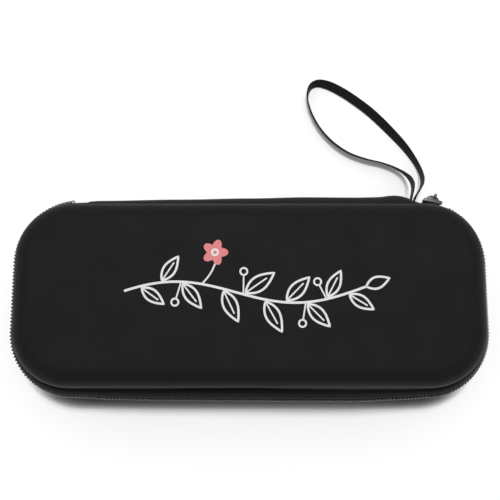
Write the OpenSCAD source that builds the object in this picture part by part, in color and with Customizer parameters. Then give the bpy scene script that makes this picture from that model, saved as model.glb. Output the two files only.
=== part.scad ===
// Hard case for a stethoscope: two moulded foam shells, closed by a zip that runs round three sides.
// The case lies on its base and is shut. X is its length, the zip's front run faces -Y, the spine +Y.
// The origin is the middle of the base's flat bottom.

/* [Shell] */
// Length of the shells, measured at their rims
case_l = 274; // [240:1:320]
// Depth of the shells from front to back, measured at their rims
case_w = 108.5; // [96:0.5:140]
// Height of the shut case
case_h = 56; // [50:1:70]
// Radius of the corners seen from above, at the rim
corner_r = 34; // [31:0.5:40]
// Radius of the roll between a wall and the flat face
edge_r = 12; // [10:0.5:15]
// Lean of the walls, in degrees
draft = 2; // [1:0.5:5]
// Height from the parting plane to each rim
rim_gap = 7; // [6:0.25:8]
// How far the rolled lip stands out from the wall
lip_out = 0.6; // [0.4:0.1:1.5]
// Height of the lip's upright edge
lip_h = 1.4; // [0.8:0.1:2]
// Radius of the lip's outer edge
lip_r = 1.6; // [1.4:0.1:2]
// Radius of the hollow between lip and wall
lip_hollow = 3; // [2:0.25:4]

/* [Layers] */
// Thickness of the smooth outer skin
skin_t = 0.8; // [0.5:0.1:1.2]
// Thickness of the moulded foam
core_t = 4; // [3:0.25:5]
// Thickness of the knitted lining
lining_t = 0.6; // [0.4:0.1:1]
// Thickness of the binding tape inside the rim
binding_t = 0.5; // [0.4:0.1:0.8]
// Height to which the binding climbs the lining
binding_h = 5; // [3:0.5:7]

/* [Zip] */
// Thickness of the zip's tape
tape_t = 0.8; // [0.5:0.1:1]
// How far the tape bulges out past the rim's edge
tape_out = 3.5; // [2.8:0.1:4.2]
// Height of the upright edge that carries the teeth
tape_edge = 2.8; // [2.6:0.1:3.2]
// Distance between neighbouring teeth
tooth_pitch = 2.5; // [2.4:0.1:3.2]
// Width of a tooth along the tape
tooth_w = 1.4; // [1:0.1:1.6]
// Depth of a tooth, standing out from the tape
tooth_d = 1.6; // [1.2:0.1:2]
// Height of a tooth
tooth_h = 2.2; // [1.8:0.1:2.3]
// How far a tooth leans along the tape
tooth_lean = 0.5; // [0:0.1:0.8]
// Half of the slit between the two rows of teeth
slit = 0.4; // [0.3:0.05:0.5]
// Angle round the right back corner at which the teeth begin
right_start = 27; // [24:1:34]
// Angle round the left back corner at which the teeth end
left_end = 8; // [4:1:20]

/* [Spine] */
// Length of the fabric spine
spine_l = 194; // [160:1:200]
// Thickness of the spine's outer band
spine_t = 0.8; // [0.6:0.1:1]
// How far the band stands out past the zip's tape
spine_proud = 0.5; // [0.2:0.1:0.8]
// Thickness of the strip inside the spine
spine_lining_t = 0.6; // [0.4:0.1:0.8]

/* [Slider] */
// Place of the slider round the right back corner, in degrees
slider_at = 13; // [10:1:16]
// Length of the slider along the zip
slider_l = 11; // [8:0.5:12]
// Thickness of the slider's two plates
plate_t = 1; // [0.8:0.1:1.2]
// Clearance between the slider and the teeth
slider_gap = 0.3; // [0.2:0.05:0.4]
// Thickness of the web that joins the two plates
web_t = 0.4; // [0.3:0.05:0.5]
// Height of the arched bail over the front plate
bail_h = 2.8; // [2.4:0.1:3.2]
// Thickness of the bail
bail_t = 1; // [0.8:0.1:1.2]
// Width of the bail
bail_w = 1.6; // [1.2:0.1:2]
// Length of the pull
pull_l = 17; // [12:0.5:18]
// Width of the pull
pull_w = 4.2; // [3.5:0.1:4.4]
// Place of the pull along the bail
pull_shift = -1.2; // [-1.6:0.1:1.6]
// Thickness of the pull
pull_t = 1.1; // [0.8:0.1:1.3]

/* [Net pocket] */
// Depth of the net from the lid's back wall
net_w = 62; // [40:1:70]
// Thickness of the net
net_t = 0.8; // [0.6:0.1:1.2]
// Distance between the net's holes
net_pitch = 11; // [11:0.5:16]
// Width of the net's strands
strand_w = 1.4; // [1:0.1:2.5]
// Width of the elastic hem
hem_w = 6; // [4:0.5:10]
// Thickness of the elastic hem
hem_t = 1.8; // [1.2:0.1:2.5]

/* [Strap] */
// Width of the wrist strap's ribbon
strap_w = 6.4; // [5:0.2:10]
// Thickness of the ribbon
strap_t = 1.2; // [0.8:0.1:1.6]

/* [Hidden] */
$fn = 96;

half_h = case_h / 2;
corner_x = case_l / 2 - corner_r;
corner_y = case_w / 2 - corner_r;
wall_x = corner_r - lip_out;
layers_t = skin_t + core_t + lining_t;
roll_z = half_h - edge_r;
roll_x = wall_x - (edge_r + (roll_z - rim_gap) * sin(draft)) / cos(draft);
tape_root = corner_r - 0.6;
teeth_r = corner_r + tape_out;
tape_end = slit + 0.2;
rim_in = wall_x - layers_t / cos(draft);
fine = 0.01;
strip_gap = 0.05;
binding_edge = corner_r - 2;

// The circle of the lip's hollow touches both the lip's own circle and the leaning wall.
lip_c = [corner_r - lip_r, rim_gap + lip_h];
wall_n = [cos(draft), sin(draft)];
wall_up = [-sin(draft), cos(draft)];
hollow_0 = [wall_x, rim_gap] + lip_hollow * wall_n - lip_c;
hollow_u = sqrt(pow(hollow_0 * wall_up, 2) - hollow_0 * hollow_0 + pow(lip_r + lip_hollow, 2))
    - hollow_0 * wall_up;
hollow_c = lip_c + hollow_0 + hollow_u * wall_up;
lip_a = atan2(hollow_c[1] - lip_c[1], hollow_c[0] - lip_c[0]);

function arc(c, r, a0, a1, n) = [for (i = [0:n]) let (a = a0 + (a1 - a0) * i / n) c + r * [cos(a), sin(a)]];
function oval(c, rx, ry, a0, a1, n) =
    [for (i = [0:n]) let (a = a0 + (a1 - a0) * i / n) c + [rx * cos(a), ry * sin(a)]];
function back(list) = [for (i = [len(list) - 1:-1:0]) list[i]];

// Section of a shell, t inside the outer surface. The first coordinate runs outward from the
// corner's centre, the second up from the parting plane.
function roll(t) = concat(arc([roll_x, roll_z], edge_r - t, draft, 90, 9), [[0, half_h - t]]);
function lipped(t) = concat([[corner_r - t, rim_gap]], arc(lip_c, lip_r - t, 0, lip_a, 4),
    arc(hollow_c, lip_hollow + t, lip_a + 180, draft + 180, 4), roll(t));
function plain(t) = concat([[wall_x - t / cos(draft), rim_gap]], roll(t));
function inner_x(z) = rim_in - (z - rim_gap) * tan(draft);

// Section of the zip's tape: flat under the rim, then bulging out and down to the teeth.
tape_c = [tape_root, tape_edge];
function bulge(t) = oval(tape_c, teeth_r - tape_root - t, rim_gap - tape_edge - t, 90, 0, 8);
tape_section = concat([[rim_in, rim_gap]], bulge(0), [[teeth_r, tape_end], [teeth_r - tape_t, tape_end]],
    back(bulge(tape_t)), [[rim_in, rim_gap - tape_t]]);
binding_top = rim_gap + binding_h;
binding_low = rim_gap - tape_t - binding_t;
binding_section = [[binding_edge, binding_low], [binding_edge, rim_gap - tape_t], [rim_in, rim_gap - tape_t],
    [rim_in, rim_gap], [inner_x(binding_top), binding_top], [inner_x(binding_top) - binding_t, binding_top],
    [rim_in - binding_t, rim_gap], [rim_in - binding_t, binding_low]];

// Section of a fabric strip that is sewn under both rims and bulges out between them.
function strip(out, top, t, root) = concat([[root, top]],
    oval([tape_root, 0], out - tape_root, top, 90, -90, 20), [[root, -top], [root, t - top]],
    oval([tape_root, 0], out - tape_root - t, top - t, -90, 90, 20), [[root, top - t]]);

spine_out = teeth_r + spine_proud;
spine_half = min(spine_l / 2, corner_x - 5);

// Places along the zip, from the right back corner round the front to the left back corner.
run_r = teeth_r;
arc_right = run_r * (90 - right_start) * PI / 180;
arc_full = run_r * 90 * PI / 180;
arc_left = run_r * (90 - left_end) * PI / 180;
leg_0 = arc_right;
leg_1 = leg_0 + 2 * corner_y;
leg_2 = leg_1 + arc_full;
leg_3 = leg_2 + 2 * corner_x;
leg_4 = leg_3 + arc_full;
leg_5 = leg_4 + 2 * corner_y;
run_l = leg_5 + arc_left;
tooth_n = floor(run_l / tooth_pitch);

// Each place is [corner or side x, y, turn]: the zip faces outward along the turned X axis.
function turn_at(s, s0) = (s - s0) / run_r * 180 / PI;
function place(s) =
    s < leg_0 ? [corner_x, corner_y, 90 - right_start - turn_at(s, 0)] :
    s < leg_1 ? [corner_x, corner_y - (s - leg_0), 0] :
    s < leg_2 ? [corner_x, -corner_y, -turn_at(s, leg_1)] :
    s < leg_3 ? [corner_x - (s - leg_2), -corner_y, -90] :
    s < leg_4 ? [-corner_x, -corner_y, -90 - turn_at(s, leg_3)] :
    s < leg_5 ? [-corner_x, -corner_y + (s - leg_4), -180] :
    [-corner_x, corner_y, -180 - turn_at(s, leg_5)];

module in_lid() { translate([0, 0, half_h]) children(); }
module in_base() { translate([0, 0, half_h]) mirror([0, 0, 1]) children(); }

module bend(x, y, from, to) {
    translate([x, y, 0]) rotate([0, 0, from]) rotate_extrude(angle = to - from) children();
}
module side(x, y, turn, length) {
    translate([x, y, 0]) rotate([0, 0, turn]) rotate([90, 0, 0]) linear_extrude(length) children();
}

// Carries a section all the way round the case's outline.
module all_round() {
    bend(corner_x, corner_y, 0, 90) children();
    bend(-corner_x, corner_y, 90, 180) children();
    bend(-corner_x, -corner_y, 180, 270) children();
    bend(corner_x, -corner_y, 270, 360) children();
    side(corner_x, corner_y, 0, 2 * corner_y) children();
    side(corner_x, -corner_y, -90, 2 * corner_x) children();
    side(-corner_x, -corner_y, -180, 2 * corner_y) children();
    side(-corner_x, corner_y, -270, 2 * corner_x) children();
}

// The wedge at the back between the zip's two ends, as angles round the corners from straight back.
module back_wedge(right, left) {
    reach = 2 * corner_r;
    linear_extrude(4 * rim_gap, center = true) polygon([[corner_x, corner_y],
        [corner_x + reach * sin(right), corner_y + reach * cos(right)],
        [-corner_x - reach * sin(left), corner_y + reach * cos(left)], [-corner_x, corner_y]]);
}

module shell(outer, inner, top, bottom) {
    all_round() polygon(concat(outer, back(inner)));
    translate([-corner_x, -corner_y, bottom]) cube([2 * corner_x, 2 * corner_y, top - bottom]);
}
module skin() { shell(lipped(0), lipped(skin_t), half_h, half_h - skin_t); }
module core() { shell(lipped(skin_t), plain(skin_t + core_t), half_h - skin_t, half_h - skin_t - core_t); }
module lining() {
    shell(plain(skin_t + core_t), plain(layers_t), half_h - skin_t - core_t, half_h - layers_t);
}
module binding() { all_round() polygon(binding_section); }
module tape() {
    difference() {
        all_round() polygon(tape_section);
        back_wedge(right_start, left_end);
    }
}

module tooth(lean) {
    rotate([90, 0, 90]) linear_extrude(tooth_d)
        polygon([[-tooth_w / 2 - lean, slit], [tooth_w / 2 - lean, slit],
            [tooth_w / 2 + lean, slit + tooth_h], [-tooth_w / 2 + lean, slit + tooth_h]]);
}
module teeth(shift, lean) {
    for (i = [0:tooth_n - 1]) {
        p = place((i + shift) * tooth_pitch);
        translate([p[0], p[1], 0]) rotate([0, 0, p[2]]) translate([teeth_r + fine, 0, 0]) tooth(lean);
    }
}

module lid_skin() { color("#2a2a2c") in_lid() skin(); }
module lid_core() { color("#3a3a3a") in_lid() core(); }
module lid_lining() { color("#1c1c1e") in_lid() lining(); }
module lid_binding() { color("#101012") in_lid() binding(); }
module lid_zip_tape() { color("#18181a") in_lid() tape(); }
module lid_zip_teeth() { color("#4a4a4c") in_lid() teeth(0.25, tooth_lean / 2); }
module base_skin() { color("#2a2a2c") in_base() skin(); }
module base_core() { color("#3a3a3a") in_base() core(); }
module base_lining() { color("#1c1c1e") in_base() lining(); }
module base_binding() { color("#101012") in_base() binding(); }
module base_zip_tape() { color("#18181a") in_base() tape(); }
module base_zip_teeth() { color("#4a4a4c") in_base() teeth(0.75, tooth_lean / 2); }

// The net hangs across the back of the lid, and its front edge is a stretchy hem.
net_z = binding_top + 0.3;
net_r = inner_x(net_z + net_t) - 0.1;
net_back = corner_y + net_r;
net_front = net_back - net_w;
net_half = corner_x + net_r;
module net_outline() {
    polygon(concat([[net_half, net_front]], [for (p = arc([corner_x, corner_y], net_r, 0, 90, 8)) p],
        [for (p = arc([-corner_x, corner_y], net_r, 90, 180, 8)) p], [[-net_half, net_front]]));
}
module net_hole(x, y) {
    hole = net_pitch - strand_w;
    translate([x, y, -1]) rotate([0, 0, 45]) cube([hole / sqrt(2), hole / sqrt(2), net_t + 2]);
}
module net_pocket() {
    nx = floor((corner_x - 4) / net_pitch);
    ny = floor((net_w - 16) / net_pitch);
    color("#202022") translate([0, 0, half_h + net_z]) difference() {
        linear_extrude(net_t) net_outline();
        for (i = [-nx:nx], j = [0:ny])
            net_hole(i * net_pitch, net_front + hem_w / 2 + 2 + j * net_pitch);
        for (i = [-nx:nx - 1], j = [0:ny - 1])
            net_hole((i + 0.5) * net_pitch, net_front + hem_w / 2 + 2 + (j + 0.5) * net_pitch);
    }
}
module net_hem() {
    color("#141416") translate([-net_half, net_front - hem_w, half_h + net_z + net_t / 2 - hem_t / 2])
        cube([2 * net_half, hem_w, hem_t]);
}

module spine_band() {
    color("#161618") in_lid() side(-spine_half, corner_y, -270, 2 * spine_half) polygon(strip(spine_out, rim_gap, spine_t, rim_in));
}
module spine_lining() {
    color("#202022") in_lid() side(-spine_half, corner_y, -270, 2 * spine_half)
        polygon(strip(spine_out - spine_t - strip_gap, rim_gap - spine_t - strip_gap, spine_lining_t,
            binding_edge + strip_gap));
}
// Beyond the teeth the tape's two halves are joined as far as the spine.
module zip_end(end_angle) {
    section = strip(teeth_r, rim_gap, tape_t, rim_in);
    intersection() {
        union() {
            side(spine_half, corner_y, -270, corner_x - spine_half) polygon(section);
            bend(corner_x, corner_y, 0, 90) polygon(section);
        }
        back_wedge(end_angle, 0);
    }
}
module zip_end_left() { color("#18181a") in_lid() mirror([1, 0, 0]) zip_end(left_end); }
module zip_end_right() {
    color("#18181a") in_lid() difference() {
        zip_end(right_start);
        translate([corner_x, corner_y, -tape_end]) rotate([0, 0, 90 - joined_to])
            translate([teeth_r - 8, -30, 0]) cube([12, 30, 2 * tape_end]);
    }
}

// The slider holds the teeth between two curved plates that a thin web joins through the slit.
front_r = teeth_r + tooth_d + slider_gap;
back_r = teeth_r - tape_t - slider_gap;
flange_z = slit + tooth_h + slider_gap;
slider_half = slider_l / front_r * 90 / PI;
web_half = slider_half / 3;
joined_to = slider_at - web_half - 2;
module slider_arc(half, r0, r1, z0, z1) {
    rotate([0, 0, -half]) rotate_extrude(angle = 2 * half)
        polygon([[r0, z0], [r1, z0], [r1, z1], [r0, z1]]);
}
module at_slider() {
    translate([corner_x, corner_y, half_h]) rotate([0, 0, 90 - slider_at]) children();
}
module slider_body() {
    flange_in = teeth_r + 0.5;
    color("#202022") at_slider() union() {
        slider_arc(slider_half, front_r, front_r + plate_t, -flange_z - plate_t * 0.7, flange_z + plate_t * 0.7);
        slider_arc(slider_half, flange_in, front_r + 0.2, flange_z, flange_z + plate_t * 0.7);
        slider_arc(slider_half, flange_in, front_r + 0.2, -flange_z - plate_t * 0.7, -flange_z);
        slider_arc(slider_half, back_r - plate_t, back_r, 1 - tape_edge, tape_edge - 1);
        slider_arc(web_half, back_r - 0.2, front_r + 0.2, -web_t / 2, web_t / 2);
    }
}

// The bail is an arch whose two feet stand on the front plate.
bail_r0 = front_r + plate_t;
bail_half = slider_l * 0.36;
function arch(h, b) = oval([0, 0], h, b, -90, 90, 14);
module slider_bail() {
    color("#2a2a2c") at_slider() translate([bail_r0, 0, -bail_w / 2]) linear_extrude(bail_w)
        polygon(concat(arch(bail_h, bail_half), back(arch(bail_h - bail_t, bail_half - bail_t))));
}

// The pull hangs down from the bail by its round eye.
bar_r = bail_r0 + bail_h - bail_t / 2;
eye_hole = norm([bail_t, bail_w]) / 2 + 0.2;
eye_r = bail_h - bail_t / 2 - 0.2;
module zip_pull() {
    color("#2a2a2c") at_slider() translate([bar_r, pull_shift + pull_t / 2, 0]) rotate([90, 0, 0])
        linear_extrude(pull_t) difference() {
            union() {
                circle(eye_r);
                translate([-eye_r * 0.6, -pull_l * 0.5]) square([eye_r * 1.2, pull_l * 0.5]);
                translate([-pull_w / 2, -pull_l + pull_w / 2]) square([pull_w, pull_l * 0.5]);
                translate([0, -pull_l + pull_w / 2]) circle(d = pull_w);
            }
            circle(eye_hole);
            translate([0, -pull_l + pull_w / 2]) circle(d = pull_w * 0.45);
        }
}

// The wrist strap is one ribbon, both ends sewn in beside the spine, lying in a loop on the table.
// Each point is [x, y, lift off the table, tilt from standing on its edge].
strap_route = [[98.4, 57.9, 24.6, 0], [99.6, 62.3, 23.8, 0], [101.4, 67.7, 20, 0], [102.6, 72.8, 13.6, 2],
    [102.3, 78.3, 6.6, 5], [99.1, 83.6, 2, 9], [93.4, 87.6, 0.3, 13], [85.8, 90.6, 0, 16],
    [76.1, 93, 0, 15], [65.9, 96.6, 0, 12], [57.5, 101.9, 0, 10], [51, 107.9, 0, 9],
    [45.7, 114.8, 0, 8], [41.6, 122.5, 0, 7], [39, 130.6, 0, 7], [38.5, 137.6, 0, 9],
    [40.7, 142.9, 0, 16], [45.6, 145.1, 0, 27], [52.4, 143.7, 0, 38], [60.2, 139.7, 0, 42],
    [67.7, 134.7, 0, 43], [77.8, 126.8, 0, 43], [86.4, 118.5, 0, 41], [93.8, 110.4, 0, 35],
    [100.7, 102.2, 0, 26], [106.5, 93.7, 0, 15], [110.2, 85.8, 1.2, 8], [110.8, 78.7, 5.4, 4],
    [108.8, 72.4, 12.4, 1], [105.2, 66.7, 19.6, 0], [102.1, 62.1, 23.8, 0], [100.2, 57.9, 24.6, 0]];
strap_steps = 3;
strap_n = (len(strap_route) - 1) * strap_steps;
function rest(tilt) = (strap_w * cos(tilt) + strap_t * sin(tilt)) / 2;
function route(i) = let (p = strap_route[max(0, min(len(strap_route) - 1, i))])
    [p[0], p[1], p[2] + rest(p[3]), p[3]];
function smooth(i) = let (k = min(floor(i / strap_steps), len(strap_route) - 2), u = i / strap_steps - k,
        a = route(k - 1), b = route(k), c = route(k + 1), d = route(k + 2))
    ((3 * b - a - 3 * c + d) * u * u * u + (2 * a - 5 * b + 4 * c - d) * u * u + (c - a) * u) / 2 + b;
function place3(p) = [p[0], p[1], p[2]];
function unit(v) = v / norm(v);
strap_line = [for (i = [0:strap_n]) smooth(i)];
function ribbon_section(i) = let (p = strap_line[i],
        q = place3(strap_line[min(i + 1, strap_n)]) - place3(strap_line[max(i - 1, 0)]),
        along = unit(q), side = unit(cross(along, [0, 0, 1])), up = cross(side, along),
        wide = (cos(p[3]) * up + sin(p[3]) * side) * strap_w / 2,
        thick = (cos(p[3]) * side - sin(p[3]) * up) * strap_t / 2)
    [place3(p) + wide + thick, place3(p) - wide + thick, place3(p) - wide - thick, place3(p) + wide - thick];

module wrist_strap() {
    points = [for (i = [0:strap_n], c = ribbon_section(i)) c];
    walls = [for (i = [0:strap_n - 1], j = [0:3]) let (a = 4 * i + j, b = 4 * i + (j + 1) % 4)
        each [[a, b, b + 4], [a, b + 4, a + 4]]];
    last = 4 * strap_n;
    color("#141416")
        polyhedron(points, concat(walls, [[0, 2, 1], [0, 3, 2], [last, last + 1, last + 2], [last, last + 2, last + 3]]));
}

lid_skin();
lid_core();
lid_lining();
lid_binding();
lid_zip_tape();
lid_zip_teeth();
net_pocket();
net_hem();
base_skin();
base_core();
base_lining();
base_binding();
base_zip_tape();
base_zip_teeth();
spine_band();
spine_lining();
zip_end_left();
zip_end_right();
wrist_strap();
slider_body();
slider_bail();
zip_pull();
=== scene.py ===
import bpy, bmesh, math
from mathutils import Vector, Matrix


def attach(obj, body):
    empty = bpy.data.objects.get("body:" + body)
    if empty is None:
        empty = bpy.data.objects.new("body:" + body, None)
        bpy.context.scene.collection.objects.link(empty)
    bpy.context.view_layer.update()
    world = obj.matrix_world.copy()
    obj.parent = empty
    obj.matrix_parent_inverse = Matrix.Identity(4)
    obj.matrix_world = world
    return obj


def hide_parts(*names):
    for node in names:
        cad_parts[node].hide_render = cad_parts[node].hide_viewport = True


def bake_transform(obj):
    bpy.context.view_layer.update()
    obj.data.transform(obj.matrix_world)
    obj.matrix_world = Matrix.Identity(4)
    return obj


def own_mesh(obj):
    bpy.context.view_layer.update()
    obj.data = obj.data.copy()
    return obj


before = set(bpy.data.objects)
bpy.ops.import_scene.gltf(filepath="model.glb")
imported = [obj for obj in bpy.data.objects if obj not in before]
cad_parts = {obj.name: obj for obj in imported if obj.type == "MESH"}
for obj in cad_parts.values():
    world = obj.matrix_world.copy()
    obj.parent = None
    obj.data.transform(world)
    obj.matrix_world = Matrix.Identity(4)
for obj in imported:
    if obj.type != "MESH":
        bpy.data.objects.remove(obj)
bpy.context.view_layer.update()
print("frame loaded:", len(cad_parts), "nodes")

mm = 0.001
scene = bpy.context.scene

# the camera looks almost straight down on the lid, with the front of the case at the bottom of the picture

cameraView = {"elevation": 80.2, "distance": 0.465, "lens": 55.3, "sensor": 36, "aim": (0.00038, 0.0287, 0.028)}


def makeCamera(view):
    data = bpy.data.cameras.new("photoCamera")
    data.lens, data.sensor_width = view["lens"], view["sensor"]
    data.clip_start, data.clip_end = 0.01, 20
    camera = bpy.data.objects.new("photoCamera", data)
    scene.collection.objects.link(camera)
    up = math.radians(view["elevation"])
    back = Vector((0, -math.cos(up), math.sin(up)))
    facing = (-back).to_track_quat("-Z", "Y").to_matrix().to_4x4()
    camera.matrix_world = Matrix.Translation(Vector(view["aim"]) + back * view["distance"]) @ facing
    scene.camera = camera


makeCamera(cameraView)
print("camera set")

# small helpers for the materials


def startMaterial(name):
    material = bpy.data.materials.new(name)
    material.use_nodes = True
    material.node_tree.nodes.clear()
    return material, material.node_tree


def addNode(tree, kind, values=None, **settings):
    node = tree.nodes.new(kind)
    for name, value in settings.items():
        setattr(node, name, value)
    for name, value in (values or {}).items():
        if isinstance(value, bpy.types.NodeSocket):
            tree.links.new(value, node.inputs[name])
        else:
            node.inputs[name].default_value = value
    return node


def objectPoint(tree):
    return addNode(tree, "ShaderNodeTexCoord").outputs["Object"]


def weavePoint(tree, turn=0):  # millimetres along and across the cloth
    place = addNode(tree, "ShaderNodeUVMap", uv_map="weave")
    return addNode(tree, "ShaderNodeMapping", {"Vector": place.outputs[0], "Rotation": (0, 0, turn)}).outputs[0]


def noise(tree, point, scale, detail=3, rough=0.5):
    values = {"Vector": point, "Scale": scale, "Detail": detail, "Roughness": rough}
    return addNode(tree, "ShaderNodeTexNoise", values).outputs["Fac"]


def cells(tree, point, scale):
    return addNode(tree, "ShaderNodeTexVoronoi", {"Vector": point, "Scale": scale}, feature="F1").outputs["Distance"]


def bands(tree, point, scale, axis="X", distortion=0):
    values = {"Vector": point, "Scale": scale, "Distortion": distortion, "Detail": 0}
    return addNode(tree, "ShaderNodeTexWave", values,
                   wave_type="BANDS", bands_direction=axis, wave_profile="SIN").outputs["Fac"]


def remap(tree, value, low, high, fromLow=0.0, fromHigh=1.0):
    values = {"Value": value, "From Min": fromLow, "From Max": fromHigh, "To Min": low, "To Max": high}
    return addNode(tree, "ShaderNodeMapRange", values).outputs[0]


def maths(tree, operation, a, b=0.5):
    return addNode(tree, "ShaderNodeMath", {0: a, 1: b}, operation=operation).outputs[0]


def weighted(tree, a, shareA, b, shareB):
    return maths(tree, "ADD", maths(tree, "MULTIPLY", a, shareA), maths(tree, "MULTIPLY", b, shareB))


def tint(tree, value, dark, light, low=0.0, high=1.0):
    ramp = addNode(tree, "ShaderNodeValToRGB", {"Fac": value})
    for element, position, colour in zip(ramp.color_ramp.elements, (low, high), (dark, light)):
        element.position, element.color = position, (*colour, 1)
    return ramp.outputs["Color"]


def relief(tree, height, depth, strength, under=None):
    values = {"Height": height, "Distance": depth, "Strength": strength}
    if under:
        values["Normal"] = under
    return addNode(tree, "ShaderNodeBump", values).outputs["Normal"]


def finishMaterial(material, colour, rough, bump=None, glow=None, **finish):
    tree = material.node_tree
    names = {"gloss": "Specular IOR Level", "sheen": "Sheen Weight", "sheenSoft": "Sheen Roughness",
             "coat": "Coat Weight", "coatRough": "Coat Roughness"}
    values = {"Base Color": colour, "Roughness": rough, **{names[name]: value for name, value in finish.items()}}
    if bump:
        values["Normal"] = bump
    surface = addNode(tree, "ShaderNodeBsdfPrincipled", values).outputs["BSDF"]
    if glow:
        light = addNode(tree, "ShaderNodeEmission", {"Color": (1, 1, 1, 1), "Strength": glow}).outputs[0]
        surface = addNode(tree, "ShaderNodeAddShader", {0: surface, 1: light}).outputs[0]
    addNode(tree, "ShaderNodeOutputMaterial", {"Surface": surface})
    return material


# the case's own finishes; a pattern's scale is per metre on the object and per millimetre on the weave,
# and the depth of a relief is in metres

skinLook = {"dark": (0.0040, 0.0040, 0.0042), "light": (0.0052, 0.0052, 0.0054), "gloss": 0.10,
            "pores": 2600, "poreDepth": 0.00004, "dents": 45, "dentDepth": 0.00010}


def softTouchSkin():
    material, tree = startMaterial("softTouchSkin")
    point = objectPoint(tree)
    mottle = weighted(tree, noise(tree, point, 22), 0.35, noise(tree, point, 900, 2, 0.6), 0.65)
    colour = tint(tree, mottle, skinLook["dark"], skinLook["light"], low=0.3, high=0.7)
    rough = remap(tree, noise(tree, point, 60, 4), 0.62, 0.68, fromLow=0.3, fromHigh=0.7)
    bump = relief(tree, cells(tree, point, skinLook["pores"]), skinLook["poreDepth"], 0.55)
    bump = relief(tree, noise(tree, point, skinLook["dents"], 2), skinLook["dentDepth"], 0.35, under=bump)
    return finishMaterial(material, colour, rough, bump, gloss=skinLook["gloss"], sheen=0.05, sheenSoft=0.4)


def mouldedFoam():
    material, tree = startMaterial("mouldedFoam")
    point = objectPoint(tree)
    colour = tint(tree, noise(tree, point, 300), (0.020, 0.020, 0.021), (0.034, 0.034, 0.035), low=0.35, high=0.65)
    return finishMaterial(material, colour, 0.82, relief(tree, cells(tree, point, 1500), 0.0001, 0.6), gloss=0.25)


knitLook = {"dark": (0.006, 0.006, 0.0065), "light": (0.021, 0.021, 0.022), "rows": 0.56, "wales": 0.66, "fuzz": 1400}


def brushedKnit():
    material, tree = startMaterial("brushedKnit")
    rows = bands(tree, weavePoint(tree), knitLook["rows"], "Y")
    wales = bands(tree, weavePoint(tree), knitLook["wales"], distortion=1.2)
    fuzz = noise(tree, objectPoint(tree), knitLook["fuzz"], 4, 0.7)
    height = weighted(tree, maths(tree, "MULTIPLY", rows, wales), 1.0, fuzz, 0.8)
    colour = tint(tree, height, knitLook["dark"], knitLook["light"], low=0.25)
    bump = relief(tree, height, 0.00018, 0.7)
    return finishMaterial(material, colour, 0.93, bump, gloss=0.15, sheen=0.35, sheenSoft=0.45)


tapeLook = {"thread": 0.55, "dark": (0.0012, 0.0012, 0.0013), "light": (0.0066, 0.0066, 0.0070)}
hemLook = {"thread": 0.7, "dark": (0.003, 0.003, 0.003), "light": (0.016, 0.016, 0.017), "ribs": 0.35}
spineLook = {"thread": 0.42, "dark": (0.0025, 0.0025, 0.0027), "light": (0.0125, 0.0125, 0.013)}


def wovenTape(name, look):
    material, tree = startMaterial(name)
    twill = bands(tree, weavePoint(tree, math.radians(45)), look["thread"])
    back = bands(tree, weavePoint(tree, math.radians(-45)), look["thread"])
    cloth = maths(tree, "MAXIMUM", maths(tree, "MULTIPLY", twill, 0.9), maths(tree, "MULTIPLY", back, 0.6))
    if "ribs" in look:
        cloth = maths(tree, "MULTIPLY", cloth, remap(tree, bands(tree, weavePoint(tree), look["ribs"], "Y"), 0.45, 1.0))
    height = weighted(tree, cloth, 1.0, noise(tree, objectPoint(tree), 1100, 3, 0.6), 0.45)
    colour = tint(tree, height, look["dark"], look["light"], low=0.2)
    bump = relief(tree, height, 0.00012, 0.75)
    return finishMaterial(material, colour, 0.80, bump, gloss=0.14, sheen=0.05, sheenSoft=0.5)


# the ribbon has plain dark edges; the fades are millimetres from its middle line

ribbonLook = {"width": 6.4, "edge": (0.0030, 0.0030, 0.0032), "middle": (0.0090, 0.0090, 0.0095),
              "fadeFrom": 2.6, "fadeTo": 1.9, "picks": 0.84, "cords": 0.60}


def wovenRibbon():
    material, tree = startMaterial("wovenRibbon")
    picks = bands(tree, weavePoint(tree), ribbonLook["picks"])
    cords = bands(tree, weavePoint(tree), ribbonLook["cords"], "Y")
    across = addNode(tree, "ShaderNodeSeparateXYZ", {0: weavePoint(tree)}).outputs[1]
    folded = maths(tree, "PINGPONG", across, ribbonLook["width"])
    fromMiddle = maths(tree, "ABSOLUTE", maths(tree, "SUBTRACT", folded, ribbonLook["width"] / 2))
    middle = remap(tree, fromMiddle, 0.0, 1.0, ribbonLook["fadeFrom"], ribbonLook["fadeTo"])
    height = weighted(tree, picks, 0.7, cords, 0.3)
    shade = {"Fac": 0.55, "Color1": tint(tree, middle, ribbonLook["edge"], ribbonLook["middle"]),
             "Color2": tint(tree, height, (0.15, 0.15, 0.15), (1, 1, 1))}
    colour = addNode(tree, "ShaderNodeMixRGB", shade, blend_type="MULTIPLY").outputs[0]
    bump = relief(tree, height, 0.00014, 0.8)
    return finishMaterial(material, colour, 0.72, bump, gloss=0.16, sheen=0.05, sheenSoft=0.4)


def nylonCoil():
    material, tree = startMaterial("nylonCoil")
    point = objectPoint(tree)
    colour = tint(tree, noise(tree, point, 500, 2), (0.030, 0.030, 0.031), (0.075, 0.075, 0.077), low=0.3, high=0.7)
    rough = remap(tree, noise(tree, point, 900, 2), 0.28, 0.42, fromLow=0.3, fromHigh=0.7)
    bump = relief(tree, noise(tree, point, 2500, 2), 0.00002, 0.4)
    return finishMaterial(material, colour, rough, bump, gloss=0.6, coat=0.15, coatRough=0.25)


def blackPaint():
    material, tree = startMaterial("blackPaint")
    point = objectPoint(tree)
    worn = noise(tree, point, 420, 5, 0.65)
    colour = tint(tree, worn, (0.0070, 0.0070, 0.0074), (0.020, 0.020, 0.021), low=0.45, high=0.75)
    rough = remap(tree, worn, 0.30, 0.46, fromLow=0.35, fromHigh=0.7)
    bump = relief(tree, noise(tree, point, 1600, 2), 0.00002, 0.5)
    return finishMaterial(material, colour, rough, bump, gloss=0.5, coat=0.3, coatRough=0.2)


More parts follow.
